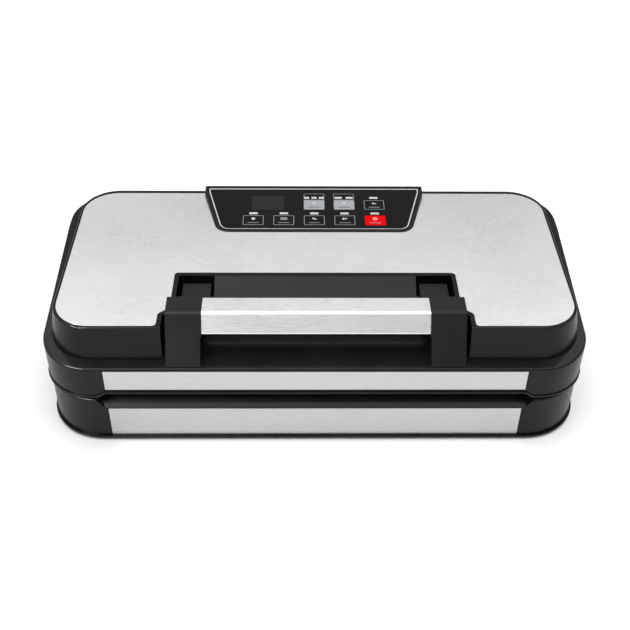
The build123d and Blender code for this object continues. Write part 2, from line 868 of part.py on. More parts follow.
with BuildPart() as vacuum_tube:
    with BuildLine():
        tube_path = Polyline(
            (tube_x, at(tube_start), tube_z), (tube_x, at(tube_start + tube_end_run), tube_z),
            (tube_x, at(port_front - tube_end_run), port_z),
            (tube_x, at(port_front - tube_gap), port_z),
        )
        fillet(tube_path.vertices().sort_by(Axis.Y)[1:3], radius=tube_bend)
    with BuildSketch(Plane(origin=(tube_x, at(tube_start), tube_z),
                           x_dir=(1, 0, 0), z_dir=(0, 1, 0))):
        Circle(tube_radius)
        Circle(tube_bore, mode=Mode.SUBTRACT)
    sweep()

with BuildPart() as release_valve:
    block(valve_x - valve_width / 2, valve_x + valve_width / 2,
          valve_depth - valve_length / 2, valve_depth + valve_length / 2,
          base_floor_z, base_floor_z + valve_body_height)
    fillet(release_valve.edges().filter_by(Axis.Z), radius=tray_wall)
    post([(valve_x, valve_depth)], valve_coil_radius, base_floor_z + valve_body_height,
         base_floor_z + valve_body_height + valve_coil_height)

with BuildPart() as board_posts:
    post(board_spots, board_post_radius, base_floor_z, board_low)

with BuildPart() as power_board:
    block(board_left, board_right, board_near, board_far, board_low, board_high)

coil_left = board_left + transformer_x
coil_near = board_near + transformer_y
with BuildPart() as transformer:
    block(coil_left, coil_left + transformer_width, coil_near,
          coil_near + transformer_length, board_high, board_high + transformer_height)
    fillet(transformer.edges().filter_by(Axis.Z), radius=pump_head_round / 2)

with BuildPart() as transformer_coil:
    for near_end, far_end in ((coil_near - coil_overhang, coil_near - tube_gap),
                              (coil_near + transformer_length + tube_gap,
                               coil_near + transformer_length + coil_overhang)):
        block(coil_left + coil_side_inset, coil_left + transformer_width - coil_side_inset,
              near_end, far_end, board_high, board_high + coil_height)
    fillet(transformer_coil.edges().filter_by(Axis.Z), radius=pump_head_round / 2)

with BuildPart() as board_parts:
    post([(board_left + x, board_near + y) for x, y in capacitor_spots],
         capacitor_radius, board_high, board_high + capacitor_height)
    for x, y, width, length, height in (relay_box, heat_sink_box):
        block(board_left + x, board_left + x + width, board_near + y,
              board_near + y + length, board_high, board_high + height)

with BuildPart() as ac_inlet:
    with BuildSketch(Plane.XZ.offset(-at(body_depth - fit_gap))):
        with Locations((inlet_x, inlet_z)):
            RectangleRounded(inlet_opening[0] - 2 * fit_gap, inlet_opening[1] - 2 * fit_gap,
                             inlet_round)
    extrude(amount=inlet_depth)
    with BuildSketch(Plane.XZ.offset(-at(body_depth))):
        with Locations((inlet_x, inlet_z)):
            SlotOverall(*inlet_socket)
    extrude(amount=inlet_socket_depth, mode=Mode.SUBTRACT)
    for side in (-1, 1):
        rod_y(inlet_x + side * inlet_pin_offset, inlet_z, inlet_pin_radius,
              body_depth - inlet_socket_depth - bracket_skin,
              body_depth - inlet_socket_depth - bracket_skin + inlet_pin_length)

# ---- lid shell ----------------------------------------------------------------
sky = 20.0


def recess_volume(grow):
    """Air of the handle recess and its two wells, grown outward by a wall."""
    with BuildSketch(Plane.XY.offset(ledge_front_z - wall)) as plan:
        with BuildLine():
            Polyline(
                (-recess_wide_half, at(-wall - 1)), (-recess_wide_half, at(recess_wide_back)),
                (-recess_half_width, at(recess_narrow_front)),
                (-recess_half_width, at(recess_back)), (recess_half_width, at(recess_back)),
                (recess_half_width, at(recess_narrow_front)),
                (recess_wide_half, at(recess_wide_back)), (recess_wide_half, at(-wall - 1)),
                close=True,
            )
        make_face()
        for row, radius in ((-1, recess_rear_round), (1, recess_step_round),
                            (3, recess_step_round)):
            fillet(plan.vertices().group_by(Axis.Y)[row], radius=radius)
        if grow:
            offset(amount=grow)
    extrude(plan.sketch, amount=plateau_height + sky)
    with BuildSketch(Plane.YZ.offset(-half_width)) as profile:
        with BuildLine():
            Polyline(
                (at(-sky), recess_floor[0][1]), *[(at(d), z) for d, z in recess_floor],
                (at(recess_back + sky), recess_floor[-1][1] + sky / 2),
                (at(recess_back + sky), plateau_top + sky), (at(-sky), plateau_top + sky),
                close=True,
            )
        make_face()
        for bend in recess_floor[1:3]:
            fillet([v for v in profile.vertices() if near(v, bend)],
                   radius=recess_floor_round)
        if grow:
            offset(amount=grow)
    extrude(profile.sketch, amount=body_width, mode=Mode.INTERSECT)
    for side in (-1, 1):
        x_low, x_high = sorted((side * (well_inner - grow), side * (recess_half_width + grow)))
        block(x_low, x_high, well_front - grow, recess_back + grow, well_floor_z - grow,
              plateau_top + sky / 2)


with BuildPart() as recess_air:
    recess_volume(0)

with BuildPart() as recess_body:
    recess_volume(wall)

with BuildPart() as lid_air:
    slab(half_width - wall, wall, body_depth - wall, lid_corner - wall,
         lid_bottom, plateau_top)
    split(bisect_by=ledge_plane.offset(-wall), keep=Keep.BOTTOM)
    split(bisect_by=ledge_rear_plane.offset(-wall), keep=Keep.BOTTOM)
    for grow, z in ((0, roof_under_z), (plateau_flare, ledge_front_z - wall)):
        add(rounded_outline(plateau_half_width + grow - wall, plateau_front - grow + wall,
                            plateau_back + grow - wall, plateau_corner + grow - wall, z))
    loft()
    add(recess_body.part, mode=Mode.SUBTRACT)


def lip_band(z_low, rise, end_gap, front, back, mode):
    """Part of the front wall whose upper edge steps up over the bag slot."""
    foot = lip_half_width + lip_flare + end_gap
    with BuildSketch(Plane.XZ.offset(-at(front))) as outline:
        with BuildLine():
            Polyline((-foot, z_low), (-foot, lid_bottom + rise),
                     (-lip_half_width - end_gap, lip_bottom_z + rise),
                     (lip_half_width + end_gap, lip_bottom_z + rise),
                     (foot, lid_bottom + rise), (foot, z_low), close=True)
        make_face()
    extrude(outline.sketch, amount=front - back, mode=mode)


with BuildPart() as lid_shell:
    slab(half_width, 0, body_depth, lid_corner, lid_bottom, plateau_top)
    split(bisect_by=ledge_plane, keep=Keep.BOTTOM)
    split(bisect_by=ledge_rear_plane, keep=Keep.BOTTOM)
    rim_edges = lid_shell.edges().filter_by(
        lambda e: e.center().Z > ledge_front_z - 1
        and abs(e.center().Y - at(ledge_crease)) > 0.01)
    fillet(rim_edges, radius=edge_round)
    slab(half_width + lid_bead, -lid_bead, body_depth + lid_bead, lid_corner + lid_bead,
         lid_bottom, lid_bottom + lid_bead_height)
    for grow, z in ((0, plateau_top), (plateau_flare, ledge_front_z)):
        add(rounded_outline(plateau_half_width + grow, plateau_front - grow,
                            plateau_back + grow, plateau_corner + grow, z))
    loft()
    fillet(lid_shell.faces().sort_by(Axis.Z)[-1].edges(), radius=plateau_round)
    add(lid_air.part, mode=Mode.SUBTRACT)
    add(recess_air.part, mode=Mode.SUBTRACT)
    extrude(plate_outline(fit_gap / 2), amount=sky, mode=Mode.SUBTRACT)
    extrude(panel_outline(-panel_fit, panel_floor_z), amount=sky, mode=Mode.SUBTRACT)
    block(-window_half_width, window_half_width, window_front, window_back,
          roof_under_z, plateau_top, mode=Mode.SUBTRACT)
    block(-steel_half_width - fit_gap, steel_half_width + fit_gap, 0, steel_thickness,
          upper_steel_low - fit_gap, upper_steel_high + fit_gap, mode=Mode.SUBTRACT)
    lip_band(lid_bottom, lid_bead_height, lip_skirt, -lid_bead, wall, Mode.ADD)
    lip_band(lid_bottom - lip_skirt, 0, 0, -lip_skirt, wall + lip_skirt, Mode.SUBTRACT)
    block(rear_relief_margin - half_width, half_width - rear_relief_margin,
          body_depth - rear_relief_depth, body_depth + lip_skirt, lid_bottom,
          rear_relief_z, mode=Mode.SUBTRACT)
    for x, depth in lid_screw_spots:
        post([(x, depth)], boss_radius, liner_top_z, ledge_z(depth) - wall / 2)
    post(lid_screw_spots, screw_radius + screw_hole_gap, liner_top_z - 1,
         liner_bottom_z + screw_length, mode=Mode.SUBTRACT)
    post(board_spots_lid, board_boss_radius, board_top_z, roof_under_z)
    post(board_spots_lid, screw_radius + screw_hole_gap, board_top_z,
         roof_under_z + board_screw_bite, mode=Mode.SUBTRACT)
    for side in (-1, 1):
        x_low, x_high = sorted((side * (well_inner - wall), side * (recess_half_width + wall)))
        rod_x(x_low, x_high, pivot_depth, pivot_z, pivot_radius + pivot_hole_gap,
              mode=Mode.SUBTRACT)

# ---- parts fixed in the lid ---------------------------------------------------
with BuildPart() as top_plate:
    extrude(plate_outline(0), amount=plate_thickness)
    extrude(panel_outline(-panel_fit, panel_floor_z), amount=sky, mode=Mode.SUBTRACT)

with BuildPart() as front_strip_upper:
    block(-steel_half_width, steel_half_width, steel_inset, steel_thickness,
          upper_steel_low, upper_steel_high)

with BuildPart() as lid_liner:
    slab(half_width - wall - fit_gap, wall + fit_gap, body_depth - wall - fit_gap,
         lid_corner - wall - fit_gap, liner_bottom_z, liner_top_z)
    block(-bar_half_length - fit_gap, bar_half_length + fit_gap,
          bar_depth - strip_width / 2 - fit_gap, bar_depth + strip_width / 2 + fit_gap,
          liner_bottom_z, channel_roof_z, mode=Mode.SUBTRACT)
    gasket_ring(liner_bottom_z, channel_roof_z, 0, mode=Mode.SUBTRACT)
    post(lid_screw_spots, screw_radius + screw_hole_gap, liner_bottom_z, liner_top_z,
         mode=Mode.SUBTRACT)
    for side in (-1, 1):
        block(side * latch_x - latch_width / 2 - latch_slot_gap,
              side * latch_x + latch_width / 2 + latch_slot_gap, latch_slot_front,
              latch_slot_back, liner_bottom_z, liner_top_z, mode=Mode.SUBTRACT)
        block(side * hinge_x - knuckle_half - bracket_skin,
              side * hinge_x + knuckle_half + bracket_skin,
              hinge_depth - hinge_swing_room / 2, body_depth, liner_bottom_z, liner_top_z,
              mode=Mode.SUBTRACT)

with BuildPart() as latch_cheeks:
    for side in (-1, 1):
        for cheek in (-1, 1):
            inner = side * latch_x + cheek * (latch_width / 2 + latch_slot_gap)
            x_low, x_high = sorted((inner, inner + cheek * (latch_cheek - latch_slot_gap)))
            block(x_low, x_high, latch_depth - latch_cheek_half_depth,
                  latch_depth + latch_cheek_half_depth, liner_top_z,
                  latch_z + latch_cheek_top)
            rod_x(x_low, x_high, latch_depth, latch_z, latch_pin_radius + pivot_hole_gap,
                  mode=Mode.SUBTRACT)

with BuildPart() as switch_pins:
    for side in (-1, 1):
        post([(side * switch_x, switch_depth)], switch_pin_radius,
             deck_under_z + switch_pin_gap, liner_bottom_z)

with BuildPart() as liner_screws:
    screws_up(lid_screw_spots, liner_bottom_z - screw_head_height)

with BuildPart() as upper_gasket:
    gasket_ring(lower_gasket_top + gasket_squeeze_gap, channel_roof_z, fit_gap)
    fillet(upper_gasket.faces().sort_by(Axis.Z)[0].edges(), radius=gasket_round)

with BuildPart() as pressure_strip:
    block(-bar_half_length, bar_half_length, bar_depth - strip_width / 2,
          bar_depth + strip_width / 2, tape_top_z + strip_bottom_gap, channel_roof_z)
    fillet(pressure_strip.faces().sort_by(Axis.Z)[0].edges().filter_by(Axis.X),
           radius=strip_round)

with BuildPart() as hinge_leaves:
    leaf_back = body_depth - wall - pivot_clearance
    for side in (-1, 1):
        rod_x(side * hinge_x - knuckle_half, side * hinge_x + knuckle_half,
              hinge_depth, hinge_z, knuckle_radius)
        block(side * hinge_x - knuckle_half, side * hinge_x + knuckle_half,
              leaf_back - leaf_thickness, leaf_back, hinge_z, hinge_z + leaf_height)
    for side in (-1, 1):
        rod_x(side * hinge_x - knuckle_half, side * hinge_x + knuckle_half,
              hinge_depth, hinge_z, hinge_pin_radius + hinge_bore_gap, mode=Mode.SUBTRACT)

with BuildPart() as handle_pivots:
    for side in (-1, 1):
        x_low, x_high = sorted((side * (well_inner - wall), side * (recess_half_width + wall)))
        rod_x(x_low + pivot_end_gap, x_high - pivot_end_gap, pivot_depth, pivot_z,
              pivot_radius)

with BuildPart() as latch_pins:
    for side in (-1, 1):
        rod_x(side * latch_x - latch_width / 2 - latch_cheek,
              side * latch_x + latch_width / 2 + latch_cheek,
              latch_depth, latch_z, latch_pin_radius)

# ---- control panel ------------------------------------------------------------
lens_spots = [(x, lower_lens_row, lens_width) for x in lower_keys]
lens_spots += [(x, upper_lens_row, triple_lens_width) for x in (-triple_pitch, 0, triple_pitch)]
lens_spots += [(key_pitch + x, upper_lens_row, pair_lens_width)
               for x in (-pair_pitch / 2, pair_pitch / 2)]
lens_spots += [(upper_keys[2], upper_lens_row, lens_width)]
key_spots = [(x, lower_row) for x in lower_keys] + [(x, upper_row) for x in upper_keys]

with BuildPart() as panel_bezel:
    to_face(panel_outline(0, panel_floor_z), 0)
    fillet(panel_bezel.faces().sort_by(Axis.Z)[-1].edges(), radius=panel_edge_round)
    to_face(panel_outline(panel_frame, roof_under_z), -panel_edge_round, overlay_drop,
            mode=Mode.SUBTRACT)
    block(window_frame_step - window_half_width, window_half_width - window_frame_step,
          window_front, window_back, panel_floor_z, panel_front_z + sky, mode=Mode.SUBTRACT)

with BuildPart() as panel_trim:
    to_face(panel_outline(panel_frame + trim_gap, roof_under_z), trim_drop, overlay_drop)
    extrude(panel_outline(panel_frame + trim_width, roof_under_z), amount=sky,
            mode=Mode.SUBTRACT)

with BuildPart() as panel_overlay:
    to_face(panel_outline(panel_frame + trim_width + trim_gap, roof_under_z),
            cover_drop, overlay_drop)
    for x, depth in key_spots:
        extrude(pad(x, depth, key_width + 2 * key_gap, key_height + 2 * key_gap,
                    roof_under_z), amount=sky, mode=Mode.SUBTRACT)
    for x, depth, width in lens_spots:
        extrude(pad(x, depth, width + 2 * lens_gap, lens_height + 2 * lens_gap,
                    roof_under_z), amount=sky, mode=Mode.SUBTRACT)
    extrude(pad(display_x, display_row, display_width + 2 * display_gap,
                display_height + 2 * display_gap, roof_under_z), amount=sky,
            mode=Mode.SUBTRACT)

with BuildPart() as display_window:
    to_face(pad(display_x, display_row, display_width, display_height, roof_under_z),
            cover_drop + display_sink, overlay_drop)

with BuildPart() as display_module:
    to_face(pad(display_x, display_row, display_width - 2 * display_module_inset,
                display_height - 2 * display_module_inset, board_top_z), overlay_drop)

with BuildPart() as indicator_lenses:
    for x, depth, width in lens_spots:
        to_face(pad(x, depth, width, lens_height, roof_under_z), cover_drop - lens_proud,
                overlay_drop)
        to_face(pad(x, depth, lens_height, lens_height, board_top_z + pipe_lift),
                cover_drop + lens_proud)

with BuildPart() as control_board:
    block(-board_half_width, board_half_width, board_front, board_back,
          board_top_z - board_thickness, board_top_z)
    post(board_spots_lid, screw_radius + screw_hole_gap, board_top_z - board_thickness,
         board_top_z, mode=Mode.SUBTRACT)

with BuildPart() as board_screws:
    post(board_spots_lid, board_screw_head_radius,
         board_top_z - board_thickness - screw_head_height, board_top_z - board_thickness)
    post(board_spots_lid, screw_radius, board_top_z - board_thickness,
         roof_under_z + board_screw_bite - screw_hole_gap)

with BuildPart() as tact_switches:
    for x, depth in key_spots:
        extrude(pad(x, depth, switch_size, switch_size, board_top_z), amount=switch_height)


def panel_key(x, depth):
    """One panel key: a thin cap with a stem above its switch."""
    to_face(pad(x, depth, key_width, key_height, roof_under_z), cover_drop,
            overlay_drop - key_skirt_gap)
    post([(x, depth)], key_stem / 2, board_top_z + switch_height + key_travel + key_rest_gap,
         face_z(depth) - overlay_drop + key_skirt_gap + stem_reach)


with BuildPart() as key_seal:
    panel_key(lower_keys[0], lower_row)

with BuildPart() as key_vacuum_seal:
    panel_key(lower_keys[1], lower_row)

with BuildPart() as key_pulse:
    panel_key(lower_keys[2], lower_row)

with BuildPart() as key_cycle:
    panel_key(lower_keys[3], lower_row)

with BuildPart() as key_stop:
    panel_key(lower_keys[4], lower_row)

with BuildPart() as key_food:
    panel_key(upper_keys[0], upper_row)

with BuildPart() as key_pressure:
    panel_key(upper_keys[1], upper_row)

with BuildPart() as key_accessory:
    panel_key(upper_keys[2], upper_row)

# ---- handle -------------------------------------------------------------------
foot_z = ledge_z(leg_foot_front) + leg_foot_gap
front_lean = (handle_front_top - leg_foot_front) / (handle_top_z - foot_z)
lean_length = (1 + front_lean ** 2) ** 0.5


def front_at(z):
    """Depth of the handle's leaning front face at a height."""
    return leg_foot_front + (z - foot_z) * front_lean


bar_section = [
    (front_at(bar_under_z), bar_under_z),
    (handle_front_top, handle_top_z), (handle_back, handle_top_z),
    (handle_back, bar_rear_z), (bar_under_back, bar_under_z),
]
handle_rounds = [((handle_front_top, handle_top_z), handle_front_round),
                 ((handle_back, handle_top_z), handle_back_round)]
tenon_low = bar_under_z + tenon_rise
tenon_front = front_at(tenon_low + tenon_height) + (
    (bar_skin_gap + bar_wall) * lean_length + fit_gap)


def handle_arm(side):
    """One end arm: leg in front, head beside the bar, link back to the pivot."""
    leg, shoulder, bridge, link, tenon = [
        sorted((side * near_x, side * far_x)) for near_x, far_x in (
            (leg_inner, arm_outer), (arm_inner, leg_inner), (leg_inner, link_outer),
            (link_inner, link_outer), (arm_inner - tenon_length, arm_inner))]
    link_start = handle_back + link_back_gap
    side_profile(
        [(leg_foot_front, foot_z), (leg_foot_back, ledge_z(leg_foot_back) + leg_foot_gap),
         (leg_back_top, arm_under_z - leg_neck), (leg_back_top, arm_under_z),
         (handle_back, arm_under_z), (handle_back, handle_top_z),
         (handle_front_top, handle_top_z)],
        *leg, rounds=handle_rounds,
    )
    side_profile(bar_section, *shoulder, rounds=handle_rounds)
    side_profile(
        [(link_front, link_under_z + leg_neck), (link_start, link_under_z),
         (link_start, link_top_z), (handle_back, arm_under_z), (leg_back_top, arm_under_z)],
        *bridge,
    )
    side_profile(
        [(link_start, link_under_z), (pivot_depth + link_tail, link_under_z),
         (pivot_depth + link_tail, link_top_z), (link_start, link_top_z)],
        *link, rounds=[((pivot_depth + link_tail, link_under_z), link_heel_round)],
    )
    rod_x(*link, pivot_depth, pivot_z, pivot_radius + pivot_clearance, mode=Mode.SUBTRACT)
    block(*tenon, tenon_front, tenon_front + tenon_depth, tenon_low,
          tenon_low + tenon_height)


with BuildPart() as handle_arm_left:
    handle_arm(-1)

with BuildPart() as handle_arm_right:
    handle_arm(1)

with BuildPart() as handle_bar:
    with BuildSketch(Plane.YZ.offset(bar_end_gap - arm_inner)) as section:
        with BuildLine():
            Polyline(*[(at(d), z) for d, z in bar_section], close=True)
        make_face()
        offset(amount=-bar_skin_gap, kind=Kind.INTERSECTION)
        fillet(section.vertices().group_by(Axis.Y)[-1].sort_by(Axis.X)[-1],
               radius=handle_back_round)
        fillet(section.vertices().group_by(Axis.Y)[-1].sort_by(Axis.X)[0],
               radius=handle_front_round)
        fillet(section.vertices().filter_by(
            lambda v: v.Y < handle_top_z - bar_skin_gap - handle_front_round),
            radius=bar_low_round)
        offset(amount=-bar_wall, kind=Kind.INTERSECTION, mode=Mode.SUBTRACT)
    extrude(amount=2 * (arm_inner - bar_end_gap))

# ---- latches ------------------------------------------------------------------


def latch(side):
    """Hook that hangs in the lid and reaches under its catch on the base deck."""
    x_low = side * latch_x - latch_width / 2
    x_high = side * latch_x + latch_width / 2
    arm_front = latch_depth - latch_arm / 2
    arm_back = latch_depth + latch_arm / 2
    rod_x(x_low, x_high, latch_depth, latch_z, latch_eye_radius)
    side_profile(
        [(arm_front, latch_z), (arm_front, latch_foot_z + latch_nose_height),
         (arm_front - latch_nose, latch_foot_z + latch_nose_height),
         (arm_front - latch_nose, latch_foot_z), (arm_back, latch_foot_z),
         (arm_back, latch_z)],
        x_low, x_high,
    )
    rod_x(x_low, x_high, latch_depth, latch_z, latch_pin_radius + latch_pin_gap,
          mode=Mode.SUBTRACT)


with BuildPart() as latch_left:
    latch(-1)

with BuildPart() as latch_right:
    latch(1)

# ---- write one file per piece -------------------------------------------------
pieces = {
    "base_housing": base_housing, "bottom_cover": bottom_cover, "feet": feet,
    "base_screws": base_screws, "front_panel_lower": front_panel_lower,
    "drip_tray": drip_tray, "seal_bar": seal_bar, "seal_tape": seal_tape,
    "lower_gasket": lower_gasket, "dust_seal": dust_seal, "latch_catches": latch_catches,
    "hinge_brackets": hinge_brackets, "hinge_pins": hinge_pins,
    "lid_switches": lid_switches, "pump_motor": pump_motor, "pump_head": pump_head,
    "pump_cradle": pump_cradle, "vacuum_tube": vacuum_tube, "release_valve": release_valve,
    "board_posts": board_posts, "power_board": power_board, "transformer": transformer,
    "transformer_coil": transformer_coil, "board_parts": board_parts, "ac_inlet": ac_inlet,
    "lid_shell": lid_shell, "top_plate": top_plate, "front_strip_upper": front_strip_upper,
    "lid_liner": lid_liner, "latch_cheeks": latch_cheeks, "switch_pins": switch_pins,
    "liner_screws": liner_screws, "upper_gasket": upper_gasket,
    "pressure_strip": pressure_strip, "hinge_leaves": hinge_leaves,
    "handle_pivots": handle_pivots, "latch_pins": latch_pins, "panel_bezel": panel_bezel,
    "panel_trim": panel_trim, "panel_overlay": panel_overlay,
    "display_window": display_window, "display_module": display_module,
    "indicator_lenses": indicator_lenses, "control_board": control_board,
    "board_screws": board_screws, "tact_switches": tact_switches, "key_seal": key_seal,
    "key_vacuum_seal": key_vacuum_seal, "key_pulse": key_pulse, "key_cycle": key_cycle,
    "key_stop": key_stop, "key_food": key_food, "key_pressure": key_pressure,
    "key_accessory": key_accessory, "handle_arm_left": handle_arm_left,
    "handle_arm_right": handle_arm_right, "handle_bar": handle_bar,
    "latch_left": latch_left, "latch_right": latch_right,
}
for name, piece in pieces.items():
    piece.part.label = name
    export_step(piece.part, f"parts/{name}.step")
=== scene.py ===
import bpy
import json
import math
from mathutils import Matrix, Vector


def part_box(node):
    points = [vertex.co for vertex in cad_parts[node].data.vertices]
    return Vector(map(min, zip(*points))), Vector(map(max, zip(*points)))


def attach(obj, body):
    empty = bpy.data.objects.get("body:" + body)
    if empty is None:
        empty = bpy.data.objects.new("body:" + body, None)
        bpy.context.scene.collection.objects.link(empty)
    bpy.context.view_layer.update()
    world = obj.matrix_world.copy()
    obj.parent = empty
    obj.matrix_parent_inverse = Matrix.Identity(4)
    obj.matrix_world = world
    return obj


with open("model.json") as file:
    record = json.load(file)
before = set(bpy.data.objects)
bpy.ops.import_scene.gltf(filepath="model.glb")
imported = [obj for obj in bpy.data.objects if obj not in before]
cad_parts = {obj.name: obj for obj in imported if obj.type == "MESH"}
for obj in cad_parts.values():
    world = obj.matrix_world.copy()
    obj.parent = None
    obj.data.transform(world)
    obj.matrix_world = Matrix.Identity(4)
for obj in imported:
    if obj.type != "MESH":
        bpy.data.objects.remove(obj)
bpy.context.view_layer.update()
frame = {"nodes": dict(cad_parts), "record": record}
nodes = frame["nodes"]
MM = 0.001


# ---------------------------------------------------------------- camera
CAMERA_SPOT = (-11.8 * MM, -630.9 * MM, 564.0 * MM)
CAMERA_YAW = 1.13
CAMERA_ELEVATION = 39.8
CAMERA_ROLL = 0.75
LENS_MM = 56.38
SENSOR_MM = 36.0
CLIP_NEAR = 0.01
CLIP_FAR = 20.0

camera_data = bpy.data.cameras.new("view_camera")
camera_data.sensor_width = SENSOR_MM
camera_data.lens = LENS_MM
camera_data.clip_start = CLIP_NEAR
camera_data.clip_end = CLIP_FAR
camera = bpy.data.objects.new("view_camera", camera_data)
camera.matrix_world = (
    Matrix.Translation(CAMERA_SPOT)
    @ Matrix.Rotation(math.radians(-CAMERA_YAW), 4, "Z")
    @ Matrix.Rotation(math.radians(90 - CAMERA_ELEVATION), 4, "X")
    @ Matrix.Rotation(math.radians(CAMERA_ROLL), 4, "Z")
)
bpy.context.scene.collection.objects.link(camera)
bpy.context.scene.camera = camera
bpy.context.scene.view_settings.view_transform = "Standard"


# ---------------------------------------------------------------- material helpers
# Noise stays mostly between these two values, so remaps and ramps use that span.
NOISE_LOW = 0.3
NOISE_HIGH = 0.7
COAT_ROUGHNESS = 0.08


def new_material(name):
    """Material with its node tree and its shader."""
    mat = bpy.data.materials.new(name)
    mat.use_nodes = True
    tree = mat.node_tree
    return mat, tree, tree.nodes["Principled BSDF"]


def noise(tree, scale, detail=4.0, rough=0.55, stretch=(1, 1, 1), distortion=0.0):
    """Noise over the part's own coordinates, in cycles per metre."""
    coord = tree.nodes.new("ShaderNodeTexCoord")
    mapping = tree.nodes.new("ShaderNodeMapping")
    mapping.inputs["Scale"].default_value = [scale * s for s in stretch]
    tex = tree.nodes.new("ShaderNodeTexNoise")
    tex.inputs["Scale"].default_value = 1.0
    tex.inputs["Detail"].default_value = detail
    tex.inputs["Roughness"].default_value = rough
    tex.inputs["Distortion"].default_value = distortion
    tree.links.new(coord.outputs["Object"], mapping.inputs["Vector"])
    tree.links.new(mapping.outputs["Vector"], tex.inputs["Vector"])
    return tex.outputs["Fac"]


def remap(tree, value, low, high, from_low=NOISE_LOW, from_high=NOISE_HIGH):
    node = tree.nodes.new("ShaderNodeMapRange")
    node.inputs["From Min"].default_value = from_low
    node.inputs["From Max"].default_value = from_high
    node.inputs["To Min"].default_value = low
    node.inputs["To Max"].default_value = high
    tree.links.new(value, node.inputs["Value"])
    return node.outputs["Result"]


def blend_colour(tree, fac, dark, light):
    ramp = tree.nodes.new("ShaderNodeValToRGB")
    ramp.color_ramp.elements[0].position = NOISE_LOW
    ramp.color_ramp.elements[0].color = (*dark, 1)
    ramp.color_ramp.elements[1].position = NOISE_HIGH
    ramp.color_ramp.elements[1].color = (*light, 1)
    tree.links.new(fac, ramp.inputs["Fac"])
    return ramp.outputs["Color"]


def bump(tree, height, strength, distance, normal=None):
    node = tree.nodes.new("ShaderNodeBump")
    node.inputs["Strength"].default_value = strength
    node.inputs["Distance"].default_value = distance
    tree.links.new(height, node.inputs["Height"])
    if normal is not None:
        tree.links.new(normal, node.inputs["Normal"])
    return node.outputs["Normal"]


def soft_edge(tree, radius):
    """Rounds hard edges in the shading, so that they catch the light."""
    node = tree.nodes.new("ShaderNodeBevel")
    node.samples = 4
    node.inputs["Radius"].default_value = radius
    return node.outputs["Normal"]


def tint(colour, factor):
    return tuple(min(1.0, c * factor) for c in colour)


def plastic(name, colour, rough=0.5, specular=0.3, grain=1800.0, grain_depth=0.00004,
            variation=0.25, edge=0.0003, coat=0.0):
    """Moulded plastic: fine texture, faint colour and gloss variation, soft edges."""
    mat, tree, shader = new_material(name)
    broad = noise(tree, 22.0, detail=3.0)
    fine = noise(tree, grain, detail=2.0, rough=0.6)
    colour_out = blend_colour(tree, broad, tint(colour, 1 - variation),
                              tint(colour, 1 + variation))
    tree.links.new(colour_out, shader.inputs["Base Color"])
    tree.links.new(remap(tree, broad, rough - 0.05, rough + 0.05),
                   shader.inputs["Roughness"])
    shader.inputs["Specular IOR Level"].default_value = specular
    shader.inputs["Coat Weight"].default_value = coat
    shader.inputs["Coat Roughness"].default_value = COAT_ROUGHNESS
    normal = soft_edge(tree, edge) if edge else None
    tree.links.new(bump(tree, fine, 0.35, grain_depth, normal), shader.inputs["Normal"])
    return mat


def brushed(name, colour, rough=0.34, along=150.0, across=900.0, axis=0, contrast=0.06,
            depth=0.000008, edge=0.0002):
    """Brushed metal: wavy streaks along one axis over finer hairlines."""
    mat, tree, shader = new_material(name)
    streak = [across / along] * 3
    streak[axis] = 1.0
    hair = [across * 4 / along] * 3
    hair[axis] = 2.0
    waves = noise(tree, along, detail=3.0, stretch=streak, distortion=0.6)
    hairs = noise(tree, along, detail=2.0, stretch=hair)
    clouds = noise(tree, 9.0, detail=2.0)
    mix = tree.nodes.new("ShaderNodeMath")
    mix.operation = "ADD"
    tree.links.new(remap(tree, waves, 0.0, 0.6), mix.inputs[0])
    tree.links.new(remap(tree, hairs, 0.0, 0.4), mix.inputs[1])
    tree.links.new(blend_colour(tree, mix.outputs["Value"], tint(colour, 1 - contrast),
                                tint(colour, 1 + contrast)), shader.inputs["Base Color"])
    rough_mix = tree.nodes.new("ShaderNodeMath")
    rough_mix.operation = "ADD"
    tree.links.new(remap(tree, hairs, rough - 0.06, rough + 0.06), rough_mix.inputs[0])
    tree.links.new(remap(tree, clouds, -0.02, 0.02), rough_mix.inputs[1])
    tree.links.new(rough_mix.outputs["Value"], shader.inputs["Roughness"])
    shader.inputs["Metallic"].default_value = 1.0
    tree.links.new(bump(tree, mix.outputs["Value"], 0.3, depth, soft_edge(tree, edge)),
                   shader.inputs["Normal"])
    return mat


def metal(name, colour, rough=0.35, grain=900.0):
    """Plated or cast metal with a faint mottle."""
    mat, tree, shader = new_material(name)
    mottle = noise(tree, grain, detail=3.0)
    tree.links.new(blend_colour(tree, mottle, tint(colour, 0.88), colour),
                   shader.inputs["Base Color"])
    tree.links.new(remap(tree, mottle, rough - 0.07, rough + 0.07),
                   shader.inputs["Roughness"])
    shader.inputs["Metallic"].default_value = 1.0
    tree.links.new(bump(tree, mottle, 0.2, 0.00003, soft_edge(tree, 0.0003)),
                   shader.inputs["Normal"])
    return mat


def soft(name, colour, rough=0.75, cell=1400.0, depth=0.0001):
    """Rubber, silicone or foam: cellular surface, no gloss."""
    mat, tree, shader = new_material(name)
    cells = noise(tree, cell, detail=3.0, rough=0.7)
    tree.links.new(blend_colour(tree, cells, tint(colour, 0.75), tint(colour, 1.15)),
                   shader.inputs["Base Color"])
    tree.links.new(remap(tree, cells, rough - 0.08, rough + 0.08),
                   shader.inputs["Roughness"])
    shader.inputs["Specular IOR Level"].default_value = 0.3
    tree.links.new(bump(tree, cells, 0.5, depth), shader.inputs["Normal"])
    return mat


